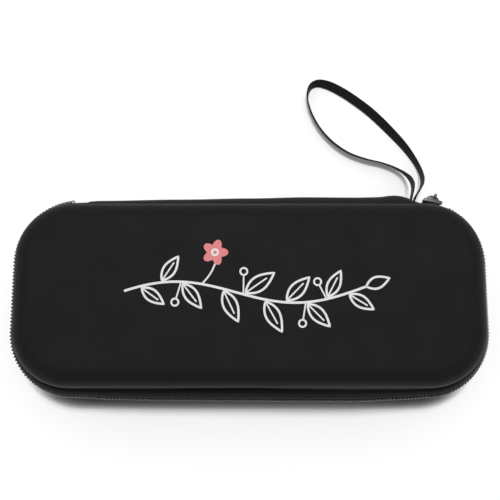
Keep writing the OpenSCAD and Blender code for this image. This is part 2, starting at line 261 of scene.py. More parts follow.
def bindingRibs():
    material, tree = startMaterial("bindingRibs")
    height = weighted(tree, bands(tree, weavePoint(tree), 0.80), 1.0, noise(tree, objectPoint(tree), 1200, 3, 0.6), 0.4)
    colour = tint(tree, height, (0.0028, 0.0028, 0.003), (0.013, 0.013, 0.0135), low=0.2)
    bump = relief(tree, height, 0.00014, 0.8)
    return finishMaterial(material, colour, 0.75, bump, gloss=0.25, sheen=0.15, sheenSoft=0.5)


def yarn(name, dark, light):
    material, tree = startMaterial(name)
    twist = noise(tree, objectPoint(tree), 1900, 3, 0.7)
    colour = tint(tree, twist, dark, light, low=0.3, high=0.7)
    return finishMaterial(material, colour, 0.7, relief(tree, twist, 0.0001, 0.7), gloss=0.3, sheen=0.2, sheenSoft=0.5)


def screenInk(name, dark, light):
    material, tree = startMaterial(name)
    point = objectPoint(tree)
    mottle = noise(tree, point, 160, 5, 0.6)
    colour = tint(tree, mottle, dark, light, low=0.3, high=0.6)
    rough = remap(tree, mottle, 0.42, 0.58, fromLow=0.3, fromHigh=0.7)
    return finishMaterial(material, colour, rough, relief(tree, cells(tree, point, 1800), 0.00003, 0.4), gloss=0.35)


looks = {
    "skin": softTouchSkin(), "foam": mouldedFoam(), "lining": brushedKnit(), "binding": bindingRibs(),
    "zip_tape": wovenTape("zipTape", tapeLook), "zip_teeth": nylonCoil(),
    "net": yarn("netYarn", (0.008, 0.008, 0.008), (0.028, 0.028, 0.029)),
    "elastic": wovenTape("elasticHem", hemLook), "spine": wovenTape("spineWeave", spineLook),
    "strap": wovenRibbon(), "slider_metal": blackPaint(),
    "print_white": screenInk("whiteInk", (0.60, 0.60, 0.60), (0.70, 0.70, 0.70)),
    "print_coral": screenInk("coralInk", (0.56, 0.135, 0.14), (0.65, 0.165, 0.17)),
    "thread": yarn("sewingThread", (0.010, 0.010, 0.0105), (0.030, 0.030, 0.031)),
}
print("materials made:", len(looks))

# small helpers for the meshes


def enter(obj, body, nodes):
    if body:
        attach(obj, body)
    if nodes:
        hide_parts(*nodes)
    return obj


def addPiece(name, mesh, slot, body, nodes=(), sharp=32):
    obj = bpy.data.objects.new(name, mesh)
    scene.collection.objects.link(obj)
    mesh.materials.clear()
    mesh.materials.append(looks[slot])
    mesh.shade_smooth()
    if sharp:
        mesh.set_sharp_from_angle(angle=math.radians(sharp))
    return enter(obj, body, nodes)


def addRows(bm, rows, uvAt, closed):  # rows close round the section; columns close too, or else their ends are capped
    uvLayer = bm.loops.layers.uv.get("weave") or bm.loops.layers.uv.new("weave")
    grid = [[bm.verts.new(Vector(p) * mm) for p in row] for row in rows]
    rowCount, columnCount = len(rows), len(rows[0])
    for i in range(rowCount):
        for j in range(columnCount if closed else columnCount - 1):
            corners = [(i, j), (i, j + 1), (i + 1, j + 1), (i + 1, j)]
            face = bm.faces.new([grid[a % rowCount][b % columnCount] for a, b in corners])
            for loop, (a, b) in zip(face.loops, corners):
                loop[uvLayer].uv = uvAt(a, b)
    if not closed:
        bm.faces.new([row[0] for row in grid])
        bm.faces.new([row[-1] for row in reversed(grid)])


def finishMesh(name, bm):
    bmesh.ops.remove_doubles(bm, verts=bm.verts, dist=1e-7)
    bmesh.ops.dissolve_degenerate(bm, dist=1e-8, edges=bm.edges)
    bmesh.ops.recalc_face_normals(bm, faces=bm.faces)
    mesh = bpy.data.meshes.new(name)
    bm.to_mesh(mesh)
    bm.free()
    return mesh


def meshFromRows(name, rows, uvAt, closed=False):
    bm = bmesh.new()
    addRows(bm, rows, uvAt, closed)
    return finishMesh(name, bm)


def lengths(points):  # the way run at each point
    total, found = 0.0, [0.0]
    for a, b in zip(points, points[1:]):
        total += (Vector(b) - Vector(a)).length
        found.append(total)
    return found


def roundLengths(section):
    return lengths([(*p, 0) for p in section + section[:1]])


# shape of the case, in millimetres; heights are from the parting plane

case = {"length": 274, "width": 108.5, "height": 56, "cornerRadius": 34, "edgeRadius": 12, "draft": 2, "rimGap": 7,
        "lipOut": 0.6, "lipHeight": 1.4, "lipRadius": 1.6, "lipHollow": 3,
        "skin": 0.8, "foam": 4, "lining": 0.6, "crown": 0.45}
halves = (("lid", 1), ("base", -1))
halfHeight = case["height"] / 2
cornerX = case["length"] / 2 - case["cornerRadius"]
cornerY = case["width"] / 2 - case["cornerRadius"]
slope = math.radians(case["draft"])
wallX = case["cornerRadius"] - case["lipOut"]
layers = case["skin"] + case["foam"] + case["lining"]
rollZ = halfHeight - case["edgeRadius"]
rollX = wallX - (case["edgeRadius"] + (rollZ - case["rimGap"]) * math.sin(slope)) / math.cos(slope)
rimIn = wallX - layers / math.cos(slope)
flatFrom = halfHeight - layers - 0.2  # the crown lifts only what lies above this


def arc(centre, rx, ry, start, end, steps):
    return [(centre[0] + rx * math.cos(math.radians(start + (end - start) * i / steps)),
             centre[1] + ry * math.sin(math.radians(start + (end - start) * i / steps))) for i in range(steps + 1)]


# the lip at the rim runs into the wall by a hollow that touches both

lipCentre = Vector((case["cornerRadius"] - case["lipRadius"], case["rimGap"] + case["lipHeight"]))
wallNormal, wallUp = Vector((math.cos(slope), math.sin(slope))), Vector((-math.sin(slope), math.cos(slope)))
hollowStart = Vector((wallX, case["rimGap"])) + case["lipHollow"] * wallNormal - lipCentre
centresApart = case["lipRadius"] + case["lipHollow"]
rise = hollowStart.dot(wallUp)
climb = math.sqrt(rise ** 2 - hollowStart.dot(hollowStart) + centresApart ** 2) - rise
hollowCentre = lipCentre + hollowStart + climb * wallUp
lipAngle = math.degrees(math.atan2(hollowCentre.y - lipCentre.y, hollowCentre.x - lipCentre.x))


def rollProfile(depth):
    radius = case["edgeRadius"] - depth
    return arc((rollX, rollZ), radius, radius, case["draft"], 90, steps=20)


def lippedProfile(depth):
    lip, hollow = case["lipRadius"] - depth, case["lipHollow"] + depth
    return ([(case["cornerRadius"] - depth, case["rimGap"])] + arc(lipCentre, lip, lip, 0, lipAngle, steps=10)
            + arc(hollowCentre, hollow, hollow, lipAngle + 180, case["draft"] + 180, steps=10) + rollProfile(depth))


def plainProfile(depth):
    return [(wallX - depth / math.cos(slope), case["rimGap"])] + rollProfile(depth)


def innerX(z):
    return rimIn - (z - case["rimGap"]) * math.tan(slope)


# a station is the centre of a bend on the way round the case, and the angle that it faces

corners = [(cornerX, cornerY), (-cornerX, cornerY), (-cornerX, -cornerY), (cornerX, -cornerY)]
rightBack, leftBack, leftFront, rightFront = corners


def bend(centre, start, end, steps):
    return [(*centre, start + (end - start) * i / steps) for i in range(steps + 1)]


def straight(a, b, angle, steps):  # without its two ends
    return [(a[0] + (b[0] - a[0]) * i / steps, a[1] + (b[1] - a[1]) * i / steps, angle) for i in range(1, steps)]


def outlineStations():
    stations = []
    for k, corner in enumerate(corners):
        end = 90 * k + 90
        stations += bend(corner, 90 * k, end, 20) + straight(corner, corners[(k + 1) % 4], end, 6 if k % 2 else 24)
    return stations


def at(station, r, z):
    x, y, angle = station
    return (x + r * math.cos(math.radians(angle)), y + r * math.sin(math.radians(angle)), z)


def between(table, x):  # eases from one entry to the next
    x = min(max(x, table[0][0]), table[-1][0])
    for (x0, a), (x1, b) in zip(table, table[1:]):
        if x <= x1:
            u = (x - x0) / (x1 - x0)
            return a + (b - a) * u * u * (3 - 2 * u)
    return table[-1][1]


# moulded shells: skin, foam and lining of the lid and of the base; the lid's front edge waves: x, amount

lidEdge = {"wave": [(-103, -0.5), (-77, -0.2), (-53, -0.2), (-25, -0.8), (0, -1.0), (30, 0.1), (59, 0.5), (89, 0.2),
                    (103, -0.4)],
           "fade": 8, "sharpness": 6}


def lidEdgeWave(station, z):
    facing = max(0, -math.sin(math.radians(station[2]))) ** lidEdge["sharpness"]
    return between(lidEdge["wave"], station[0]) * facing * max(0, 1 - (z - case["rimGap"]) / lidEdge["fade"])


def crownAt(x, y):
    u, v = x / (cornerX + rollX), y / (cornerY + rollX)
    return case["crown"] * (max(0, 1 - u * u) * max(0, 1 - v * v)) ** 1.5


def shellMesh(name, outer, inner, side, wavy=False):
    stations = outlineStations()
    ringCount = 12  # rings on the flat, from the roll to the middle

    def ringsOf(profile):
        rings = []
        run = lengths(profile)
        for (r, z), s in zip(profile, run):
            flatR = profile[-1][0] + run[-1] - s
            rings.append(([at(station, r + (lidEdgeWave(station, z) if wavy else 0), z) for station in stations],
                          [at(station, flatR, 0)[:2] for station in stations]))
        edge = rings[-1][0]
        for k in range(1, ringCount + 1):
            share = 1 - k / ringCount
            ring = [(x * share, y * share, z) for x, y, z in edge]
            rings.append((ring, [p[:2] for p in ring]))
        return rings

    def lifted(x, y, z):
        return (x, y, halfHeight + side * (z + (crownAt(x, y) if z > flatFrom else 0)))

    rings = ringsOf(outer) + ringsOf(inner)[::-1]
    rows = [[lifted(*p) for p in ring] for ring, _ in rings]
    flats = [flat for _, flat in rings]
    return meshFromRows(name, rows, lambda i, j: flats[i % len(flats)][j % len(stations)], closed=True)


for body, side in halves:
    skin = shellMesh(body + "Skin", lippedProfile(0), lippedProfile(case["skin"]), side, wavy=body == "lid")
    addPiece(body + "Skin", skin, "skin", body, [body + "_skin"], 50)
    lining = shellMesh(body + "Lining", plainProfile(case["skin"] + case["foam"]), plainProfile(layers), side)
    addPiece(body + "Lining", lining, "lining", body, [body + "_lining"], 50)
    foam = bpy.data.objects[body + "_core"].data
    foam.materials.clear()
    foam.materials.append(looks["foam"])
print("shells made")

# binding tape round the inside of each rim

binding = {"thickness": 0.5, "height": 5, "round": 0.35, "reach": 2}
zipTape = {"thickness": 0.8, "out": 3.5, "edge": 2.8, "slit": 0.4, "back": 0.2, "rightStart": 27, "leftEnd": 8}
bindingEdge = case["cornerRadius"] - binding["reach"]
tapeRoot = wallX
teethR = case["cornerRadius"] + zipTape["out"]
tapeEnd = zipTape["slit"] + zipTape["back"]
tapeLow = case["rimGap"] - zipTape["thickness"]


def softened(section, radius):  # rounds the corners of a closed section, apart from nearly straight ones
    nearlyStraight, mostOfSide = math.radians(150), 0.45
    made = []
    for i, p in enumerate(section):
        a, b, c = Vector(section[i - 1]), Vector(p), Vector(section[(i + 1) % len(section)])
        toA, toC = a - b, c - b
        if toA.length < 1e-6 or toC.length < 1e-6 or toA.angle(toC) > nearlyStraight:
            made.append(tuple(b))
            continue
        cut = min(radius, toA.length * mostOfSide, toC.length * mostOfSide)
        start, end = b + toA.normalized() * cut, b + toC.normalized() * cut
        made += [tuple(start), tuple(start * 0.25 + b * 0.5 + end * 0.25), tuple(end)]
    return made


def addSection(bm, section, stations, side, place, closed):
    ends = stations + stations[:1] if closed else stations
    along, across = lengths([at(s, case["cornerRadius"], 0) for s in ends]), roundLengths(section)
    rows = [[place(station, r, halfHeight + side * z) for station in stations] for r, z in section]
    addRows(bm, rows, lambda i, j: (along[j], across[i]), closed)


def loopMesh(name, section, side):  # a closed section carried all round the case
    bm = bmesh.new()
    addSection(bm, section, outlineStations(), side, at, closed=True)
    return finishMesh(name, bm)


bindingTop = case["rimGap"] + binding["height"]
bindingLow = tapeLow - binding["thickness"]
bindingSection = softened([(bindingEdge, bindingLow), (bindingEdge, tapeLow), (rimIn, tapeLow), (rimIn, case["rimGap"]),
                           (innerX(bindingTop), bindingTop), (innerX(bindingTop) - binding["thickness"], bindingTop),
                           (rimIn - binding["thickness"], case["rimGap"]), (rimIn - binding["thickness"], bindingLow)],
                          binding["round"])
for body, side in halves:
    tape = loopMesh(body + "Binding", bindingSection, side)
    addPiece(body + "Binding", tape, "binding", body, [body + "_binding"], 40)
print("binding made")

# zip tapes, from the right back corner round the front to the left back corner
# the soft zip and spine stand out between the corners: x, amount; the stretch grows from the rim to the teeth

give = {"front": [(-103, 0), (-77, 1.1), (-53, 1.6), (0, 1.8), (30, 2.1), (59, 2.1), (89, 1.1), (103, 0)],
        "back": [(-103, 0), (-90, 0.7), (-40, 1.5), (0, 2.2), (35, 2.9), (65, 2.7), (78, 2.9), (88, 4.0), (94, 3.4),
                 (98, 2.0), (103, 0)],
        "sharpness": 6, "most": 1.15}


def softAt(station, r, z):
    x, _, angle = station
    facing = math.sin(math.radians(angle))
    share = min(max((r - rimIn) / (teethR - rimIn), 0), give["most"])
    out = between(give["back" if facing > 0 else "front"], x) * abs(facing) ** give["sharpness"]
    return at(station, r + out * share, z)


def runMesh(name, *parts):  # closed sections carried along part of the way, with closed ends
    bm = bmesh.new()
    for section, stations, side in parts:
        addSection(bm, section, stations, side, softAt, closed=False)
    return finishMesh(name, bm)


def runStations(start, end):  # the angles at both ends are counted from straight back
    return (bend(rightBack, 90 - start, 0, 16) + straight(rightBack, rightFront, 0, 6)
            + bend(rightFront, 0, -90, 22) + straight(rightFront, leftFront, -90, 26)
            + bend(leftFront, -90, -180, 22) + straight(leftFront, leftBack, -180, 6)
            + bend(leftBack, -180, -270 + end, 20))


def bulge(depth, start=90, end=0, steps=12):  # from the shell's edge down to the teeth
    return arc((tapeRoot, zipTape["edge"]), teethR - tapeRoot - depth, case["rimGap"] - zipTape["edge"] - depth,
               start, end, steps)


tapeSection = ([(rimIn, case["rimGap"])] + bulge(0) + [(teethR, tapeEnd), (teethR - zipTape["thickness"], tapeEnd)]
               + bulge(zipTape["thickness"])[::-1] + [(rimIn, tapeLow)])
zipRun = runStations(zipTape["rightStart"], zipTape["leftEnd"])
for body, side in halves:
    tape = runMesh(body + "ZipTape", (tapeSection, zipRun, side))
    addPiece(body + "ZipTape", tape, "zip_tape", body, [body + "_zip_tape"], 40)
print("zip tapes made")

# small helpers for the geometry nodes


def startTree(name, inputs):
    tree = bpy.data.node_groups.new(name, "GeometryNodeTree")
    tree.interface.new_socket("Geometry", in_out="INPUT", socket_type="NodeSocketGeometry")
    for label, value in inputs.items():
        tree.interface.new_socket(label, in_out="INPUT", socket_type="NodeSocketFloat").default_value = value
    tree.interface.new_socket("Geometry", in_out="OUTPUT", socket_type="NodeSocketGeometry")
    return tree, tree.nodes.new("NodeGroupInput").outputs, tree.nodes.new("NodeGroupOutput")


def finishTree(tree, instances, output, material):
    real = addNode(tree, "GeometryNodeRealizeInstances", {0: instances})
    dressed = addNode(tree, "GeometryNodeSetMaterial", {"Geometry": real.outputs[0], "Material": material})
    tree.links.new(dressed.outputs[0], output.inputs[0])
    return tree


def combined(tree, x=0.0, y=0.0, z=0.0):
    return addNode(tree, "ShaderNodeCombineXYZ", {"X": x, "Y": y, "Z": z}).outputs[0]


def wireFrom(tree, curve, radius, sides, scale=1.0):
    ring = addNode(tree, "GeometryNodeCurvePrimitiveCircle", {"Resolution": sides, "Radius": radius})
    values = {"Curve": curve, "Profile Curve": ring.outputs[0], "Scale": scale, "Fill Caps": True}
    return addNode(tree, "GeometryNodeCurveToMesh", values).outputs[0]


def bowedThread(tree, start, middle, end, radius):
    values = {"Resolution": 4, "Start": start, "Middle": middle, "End": end}
    return wireFrom(tree, addNode(tree, "GeometryNodeCurveQuadraticBezier", values).outputs[0], radius, 5)


def spacedAlong(tree, curve, pitch, piece):  # one piece at each pitch, turned along the way
    spaced = addNode(tree, "GeometryNodeResampleCurve", {"Curve": curve, "Length": pitch}, mode="LENGTH")
    tangent = addNode(tree, "GeometryNodeInputTangent").outputs[0]
    facing = addNode(tree, "FunctionNodeAlignRotationToVector", {"Vector": tangent}, axis="X", pivot_axis="Z")
    values = {"Points": spaced.outputs[0], "Instance": piece, "Rotation": facing.outputs[0]}
    return addNode(tree, "GeometryNodeInstanceOnPoints", values).outputs[0]


def grow(name, mesh, tree, body, nodes=(), values=None, mirrored=False):
    obj = bpy.data.objects.new(name, mesh)
    scene.collection.objects.link(obj)
    modifier = obj.modifiers.new(tree.name, "NODES")
    modifier.node_group = tree
    for item in tree.interface.items_tree:
        if item.in_out == "INPUT" and item.name in (values or {}):
            modifier[item.identifier] = values[item.name]
    bpy.context.view_layer.update()
    grown = bpy.data.meshes.new_from_object(obj.evaluated_get(bpy.context.evaluated_depsgraph_get()))
    obj.modifiers.clear()
    obj.data = grown
    if mirrored:  # the base's side of the parting plane
        toPlane = Matrix.Translation((0, 0, halfHeight * mm))
        grown.transform(toPlane @ Matrix.Scale(-1, 4, (0, 0, 1)) @ toPlane.inverted())
        grown.flip_normals()
    grown.shade_smooth()
    return enter(obj, body, nodes)


def pointMesh(name, points, joined):
    mesh = bpy.data.meshes.new(name)
    edges = [(i, i + 1) for i in range(len(points) - 1)] if joined else []
    mesh.from_pydata([Vector(p) * mm for p in points], edges, [])
    return mesh


# nylon coil of the zip: one flattened helix sewn along each tape, the heads of the two locked together
# millimetres, apart from Head, which is how much thicker the wire is at the heads

coil = {"Pitch": 2.1, "Half height": 1.22, "Half depth": 0.44, "Wire": 0.36, "Head": 1.28, "Shift": 0.0}
coilPlace = {"out": 0.84, "height": 1.24, "rightSkip": 0.5, "leftSkip": 1}


def coilTree(sizes, material):
    tree, value, end = startTree("coilAlongTape", sizes)
    track = addNode(tree, "GeometryNodeMeshToCurve", {"Mesh": value["Geometry"]})
    shifted = {0: track.outputs[0], 4: value["Shift"], 5: 100}  # inputs 4 and 5 are start and end as lengths
    trimmed = addNode(tree, "GeometryNodeTrimCurve", shifted, mode="LENGTH")
    turnSizes = {"Resolution": 10, "Rotations": 1.0, "Start Radius": 1.0, "End Radius": 1.0, "Height": value["Pitch"]}
    turn = addNode(tree, "GeometryNodeCurveSpiral", turnSizes)
    oval = combined(tree, value["Half height"], value["Half depth"], 1.0)
    flattened = addNode(tree, "GeometryNodeTransform", {"Geometry": turn.outputs[0], "Scale": oval})
    laid = addNode(tree, "GeometryNodeTransform", {"Geometry": flattened.outputs[0], "Rotation": (0, math.pi / 2, 0)})
    angle = maths(tree, "MULTIPLY", addNode(tree, "GeometryNodeSplineParameter").outputs["Factor"], 2 * math.pi)
    swell = remap(tree, maths(tree, "COSINE", angle), 1.0, value["Head"], fromLow=0.4)
    wire = wireFrom(tree, laid.outputs[0], value["Wire"], 6, swell)
    return finishTree(tree, spacedAlong(tree, trimmed.outputs[0], value["Pitch"], wire), end, material)


coilNodes = coilTree({k: v if k == "Head" else v * mm for k, v in coil.items()}, looks["zip_teeth"])
coilRun = runStations(zipTape["rightStart"] + coilPlace["rightSkip"], zipTape["leftEnd"] + coilPlace["leftSkip"])
coilTrack = [softAt(s, teethR + coilPlace["out"], halfHeight + coilPlace["height"]) for s in coilRun]
for body, turns in (("lid", 0.0), ("base", 0.5)):
    grow(body + "ZipCoil", pointMesh(body + "ZipCoil", coilTrack, joined=True), coilNodes, body,
         [body + "_zip_teeth"], {"Shift": coil["Pitch"] * turns * mm}, mirrored=body == "base")
print("zip coil made")

# sewing: short stitches along two seams of each tape, at these angles round the tape's bulge

stitch = {"Pitch": 2.1, "Length": 1.5, "Thread": 0.17}
seams = {"Outer": 58, "Inner": 22}


def stitchTree(sizes, material):
    tree, value, end = startTree("stitchesAlongSeam", sizes)
    track = addNode(tree, "GeometryNodeMeshToCurve", {"Mesh": value["Geometry"]})
    half = maths(tree, "MULTIPLY", value["Length"], 0.5)
    low = maths(tree, "MULTIPLY", value["Thread"], -0.6)  # the ends dip into the tape
    thread = bowedThread(tree, combined(tree, maths(tree, "MULTIPLY", half, -1.0), z=low),
                         combined(tree, z=value["Thread"]), combined(tree, half, z=low), value["Thread"])
    return finishTree(tree, spacedAlong(tree, track.outputs[0], value["Pitch"], thread), end, material)


stitchNodes = stitchTree({k: v * mm for k, v in stitch.items()}, looks["thread"])
for body, side in halves:
    for label, angle in seams.items():
        r, z = bulge(0, angle, angle, 1)[0]
        track = pointMesh("stitchTrack", [softAt(s, r, halfHeight + z) for s in zipRun], joined=True)
        grow(f"{body}TapeStitch{label}", track, stitchNodes, body, mirrored=side < 0)
print("stitches made")

# fabric spine and the zip's joined ends, which on the case fold as the lid opens, made between the two heights and tied
# to neither half

spine = {"length": 194, "thickness": 0.8, "proud": 0.5, "lining": 0.6, "gap": 0.05}
spineOut = teethR + spine["proud"]
spineHalf = spine["length"] / 2
spineIn = spine["thickness"] + spine["gap"]


def stripSection(out, top, thickness, root):
    return ([(root, top)] + arc((tapeRoot, 0), out - tapeRoot, top, 90, -90, steps=28)
            + [(root, -top), (root, thickness - top)]
            + arc((tapeRoot, 0), out - tapeRoot - thickness, top - thickness, -90, 90, steps=28)
            + [(root, top - thickness)])


def foldPiece(name, slot, node, *parts):
    obj = addPiece(name, runMesh(name, *parts), slot, None, [node], 40)
    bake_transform(obj)


spineRun = [(spineHalf - 2 * spineHalf * i / 48, cornerY, 90) for i in range(49)]
spineSection = stripSection(spineOut, case["rimGap"], spine["thickness"], rimIn)
foldPiece("spineBand", "spine", "spine_band", (spineSection, spineRun, 1))
liningSection = stripSection(spineOut - spineIn, case["rimGap"] - spineIn, spine["lining"], bindingEdge + spine["gap"])
foldPiece("spineLining", "lining", "spine_lining", (liningSection, spineRun, 1))

# at the right end the tapes lie joined up to the slider's tail, and parted from there to the start of the zip

slider = {"at": 13, "length": 11, "gap": 0.3, "toothDepth": 1.6, "tail": 2}
sliderHalf = slider["length"] / (teethR + slider["toothDepth"] + slider["gap"]) * 90 / math.pi
joinedTo = slider["at"] - sliderHalf / 3 - slider["tail"]
joinedSection = stripSection(teethR, case["rimGap"], zipTape["thickness"], rimIn)


def endStations(side):  # from the spine's end to the corner
    start = (side * spineHalf, cornerY)
    return [(*start, 90)] + straight(start, (side * cornerX, cornerY), 90, 2)


leftRun = endStations(-1) + bend(leftBack, 90, 90 + zipTape["leftEnd"], 4)
rightRun = endStations(1) + bend(rightBack, 90, 90 - joinedTo, 5)
partedRun = bend(rightBack, 90 - joinedTo, 90 - zipTape["rightStart"], 8)
foldPiece("zipEndLeft", "zip_tape", "zip_end_left", (joinedSection, leftRun, 1))
foldPiece("zipEndRight", "zip_tape", "zip_end_right",
          (joinedSection, rightRun, 1), (tapeSection, partedRun, 1), (tapeSection, partedRun, -1))
print("spine and zip ends made")

# slider, bail and pull: the CAD solids with softened edges; node, name, body, width of the edge in millimetres

metalPieces = (("slider_body", "sliderBody", "slider", 0.22), ("slider_bail", "sliderBail", "slider", 0.25),
               ("zip_pull", "zipPull", "pull", 0.2))


def castPiece(node, name, body, edge):
    mesh = bpy.data.objects[node].data.copy()
    mesh.name = name
    bm = bmesh.new()
    bm.from_mesh(mesh)
    bmesh.ops.remove_doubles(bm, verts=bm.verts, dist=2e-6)
    bmesh.ops.dissolve_limit(bm, angle_limit=math.radians(1.5), verts=bm.verts, edges=bm.edges)
    bm.to_mesh(mesh)
    bm.free()
    bevel = addPiece(name, mesh, "slider_metal", body, [node], sharp=0).modifiers.new("softEdges", "BEVEL")
    bevel.width, bevel.segments = edge * mm, 2
    bevel.limit_method, bevel.angle_limit = "ANGLE", math.radians(40)
    bevel.harden_normals = True


for piece in metalPieces:
    castPiece(*piece)
print("slider made")

# net pocket in the lid, with its seam cord and stretchy hem

net = {"depth": 62, "thickness": 0.8, "above": 0.3, "in": 0.1, "seam": 0.9, "margin": 0.4}
netCell = {"Cell": 5.6, "Strand": 0.42}
hem = {"width": 6, "thickness": 1.8, "round": 0.6, "steps": 240, "sway": 0.12, "swell": 0.10, "lift": 0.10}
netLow = bindingTop + net["above"]
netZ = halfHeight + netLow + net["thickness"] / 2
netR = innerX(netLow + net["thickness"]) - net["in"]
netBack, netHalf = cornerY + netR, cornerX + netR
netFront = netBack - net["depth"]


def netTree(sizes, material):  # two crossed strands in each cell, one bowed over the other
    tree, value, end = startTree("netCells", sizes)
    half = maths(tree, "MULTIPLY", value["Cell"], 0.5)
    minus = maths(tree, "MULTIPLY", half, -1.0)
    cell = addNode(tree, "GeometryNodeJoinGeometry")
    for y0, y1, bow in ((minus, half, 1.1), (half, minus, -1.1)):
        middle = combined(tree, z=maths(tree, "MULTIPLY", value["Strand"], bow))
        strand = bowedThread(tree, combined(tree, minus, y0), middle, combined(tree, half, y1), value["Strand"])
        tree.links.new(strand, cell.inputs[0])
    points = addNode(tree, "GeometryNodeMeshToPoints", {"Mesh": value["Geometry"]})
    placed = addNode(tree, "GeometryNodeInstanceOnPoints", {"Points": points.outputs[0], "Instance": cell.outputs[0]})
    return finishTree(tree, placed.outputs[0], end, material)


def netPoints():
    columnCount, rowCount = round(2 * netHalf / netCell["Cell"]), round(net["depth"] / netCell["Cell"])
    stepX, stepY = 2 * netHalf / columnCount, net["depth"] / rowCount
    made = []
    for i in range(columnCount):
        for j in range(rowCount):
            x, y = -netHalf + stepX * (i + 0.5), netFront + stepY * (j + 0.5)
            pastX, pastY = abs(x) - cornerX, y - cornerY
            if pastX < 0 or pastY < 0 or math.hypot(pastX, pastY) < netR - net["margin"]:
                made.append((x, y, netZ))
    return made


def tubeMesh(name, points, radius, sides=8):
    rows = []
    for k in range(sides):
        angle = 2 * math.pi * k / sides
        row = []
        for i, p in enumerate(points):
            a, b = points[max(i - 1, 0)], points[min(i + 1, len(points) - 1)]
            forward = (Vector(b) - Vector(a)).normalized()
            sideways = forward.cross(Vector((0, 0, 1))).normalized()
            up = sideways.cross(forward)
            row.append(tuple(Vector(p) + radius * (math.cos(angle) * sideways + math.sin(angle) * up)))
        rows.append(row)
    along = lengths(points)
    return meshFromRows(name, rows, lambda i, j: (along[j], 2 * math.pi * radius * i / sides))


def hemMesh():  # the gathered hem sways, swells and lifts a little, each at its own pace
    half, thick = hem["width"] / 2, hem["thickness"] / 2
    section = softened([(-half, -thick), (half, -thick), (half, thick), (-half, thick)], hem["round"])
    rows = [[(-netHalf + 2 * netHalf * i / hem["steps"],
              netFront - half + y + hem["sway"] * math.sin(i * 0.83),
              netZ + z * (1 + hem["swell"] * math.sin(i * 1.57)) + hem["lift"] * math.sin(i * 0.61))
             for i in range(hem["steps"] + 1)] for y, z in section]
    across = roundLengths(section)
    return meshFromRows("netHem", rows, lambda i, j: (2 * netHalf * j / hem["steps"], across[i]))


netNodes = netTree({k: v * mm for k, v in netCell.items()}, looks["net"])
grow("netPocket", pointMesh("netPoints", netPoints(), joined=False), netNodes, "lid", ["net_pocket"])
seamTrack = ([(netHalf, netFront)] + arc(rightBack, netR, netR, 0, 90, steps=15)
             + arc(leftBack, netR, netR, 90, 180, steps=15) + [(-netHalf, netFront)])
addPiece("netSeam", tubeMesh("netSeam", [(x, y, netZ) for x, y in seamTrack], net["seam"]), "elastic", "lid")
addPiece("netHem", hemMesh(), "elastic", "lid", ["net_hem"], 50)
print("net pocket made")

# wrist strap: one ribbon, both ends sewn in beside the spine, lying in a loop on the table
# its route: x, y, lift of its lower edge, tilt in degrees; it rests as the thicker solid does

strap = {"width": 6.4, "thickness": 0.8, "solidThickness": 1.2, "round": 0.45, "steps": 8, "lean": -1.0}
strapRoute = [
    (98.4, 57.9, 24.6, 0), (99.6, 62.3, 23.8, 0), (101.4, 67.7, 20, 0), (102.6, 72.8, 13.6, 2), (102.3, 78.3, 6.6, 5),
    (99.1, 83.6, 2, 9), (93.4, 87.6, 0.3, 13), (85.8, 90.6, 0, 16), (76.1, 93, 0, 15), (65.9, 96.6, 0, 12),
    (57.5, 101.9, 0, 10), (51, 107.9, 0, 9), (45.7, 114.8, 0, 8), (41.6, 122.5, 0, 7), (39, 130.6, 0, 7),
    (38.5, 137.6, 0, 9), (40.7, 142.9, 0, 16), (45.6, 145.1, 0, 27), (52.4, 143.7, 0, 38), (60.2, 139.7, 0, 42),
    (67.7, 134.7, 0, 43), (77.8, 126.8, 0, 43), (86.4, 118.5, 0, 41), (93.8, 110.4, 0, 35), (100.7, 102.2, 0, 26),
    (106.5, 93.7, 0, 15), (110.2, 85.8, 1.2, 8), (110.8, 78.7, 5.4, 4), (108.8, 72.4, 12.4, 1),
    (105.2, 66.7, 19.6, 0), (102.1, 62.1, 23.8, 0), (100.2, 57.9, 24.6, 0)]


def strapRest(tilt):
    angle = math.radians(tilt)
    return (strap["width"] * math.cos(angle) + strap["solidThickness"] * math.sin(angle)) / 2


def strapLine():  # a smooth curve through every point of the route
    route = [Vector((x, y, lift + strapRest(tilt), tilt)) for x, y, lift, tilt in strapRoute]
    made = []
    for k in range(len(route) - 1):
        a, b, c, d = route[max(k - 1, 0)], route[k], route[k + 1], route[min(k + 2, len(route) - 1)]
        for i in range(strap["steps"]):
            u = i / strap["steps"]
            made.append(((3 * b - a - 3 * c + d) * u ** 3 + (2 * a - 5 * b + 4 * c - d) * u ** 2 + (c - a) * u) / 2 + b)
    return made + [route[-1]]


def strapMesh(line):
    half, thick = strap["width"] / 2, strap["thickness"] / 2
    section = softened([(half, thick), (-half, thick), (-half, -thick), (half, -thick)], strap["round"])
    places = [p.to_3d() for p in line]
    columns = []
    for i, p in enumerate(line):
        forward = (places[min(i + 1, len(places) - 1)] - places[max(i - 1, 0)]).normalized()
        sideways = forward.cross(Vector((0, 0, 1))).normalized()
        up = sideways.cross(forward)
        tilt = math.radians(p[3]) * strap["lean"]
        wide = math.cos(tilt) * up + math.sin(tilt) * sideways
        deep = math.cos(tilt) * sideways - math.sin(tilt) * up
        columns.append([tuple(places[i] + w * wide + t * deep) for w, t in section])
    rows = [[column[k] for column in columns] for k in range(len(section))]
    along, across = lengths(places), roundLengths(section)
    return meshFromRows("wristStrap", rows, lambda i, j: (along[j], across[i]))


ribbonLine = strapLine()
ribbonLength = lengths([p.to_3d() for p in ribbonLine])[-1]
ribbon = addPiece("wristStrap", strapMesh(ribbonLine), "strap", "base", ["wrist_strap"], 50)
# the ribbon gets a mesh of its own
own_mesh(ribbon)
print("wrist strap made:", round(ribbonLength), "mm")

# print on the lid: a leafy sprig in white line with one small coral blossom

